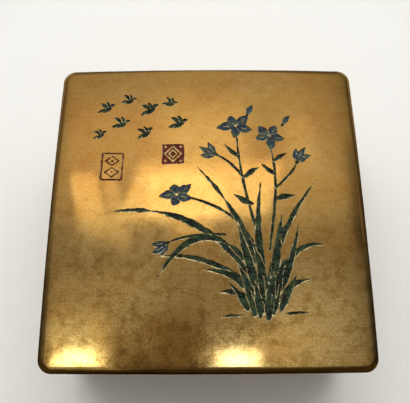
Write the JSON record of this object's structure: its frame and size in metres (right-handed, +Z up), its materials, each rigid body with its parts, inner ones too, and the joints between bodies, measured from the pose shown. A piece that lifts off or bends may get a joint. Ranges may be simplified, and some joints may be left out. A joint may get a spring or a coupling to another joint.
{
  "type": "ink box",
  "caption": "Square brass desk box for liquid ink, with a lift-off lid, an inkstone slab bedded under the lid and a copper-lined well of soaked silk.",
  "frame": {"origin": "centre of the bottom plate's underside", "axes": "+Z up through the lid, +Y to the back, +X to the right"},
  "size_m": [0.086, 0.086, 0.036],
  "materials": {
    "lid_brass": "hand-polished, brushed, with light tarnish",
    "base_brass": "hand-polished, brushed, with light tarnish",
    "copper": "red copper sheet, burnished, stained by ink",
    "bedding_cement": "hard resin and brick-dust cement",
    "slate": "honed fine slate",
    "ink_silk": "silk floss soaked in ink",
    "leaf_lacquer": "dark green lacquer rubbed into engraving",
    "blossom_lacquer": "blue-violet lacquer rubbed into engraving",
    "mark_lacquer": "dark red lacquer rubbed into engraving"
  },
  "bodies": {
    "base": {"base_plate": "base_brass", "base_side_band": "base_brass", "rim_collar": "base_brass", "well_liner": "copper", "ink_wadding": "ink_silk"},
    "lid": {"lid_top": "lid_brass", "lid_side_band": "lid_brass", "slab_bezel": "copper", "slab_bedding": "bedding_cement", "ink_slab": "slate"}
  },
  "joints": [
    {"name": "lid_lift", "type": "slide", "parent": "base", "child": "lid", "axis": [0, 0, 1], "range_m": [0, 0.06]}
  ]
}
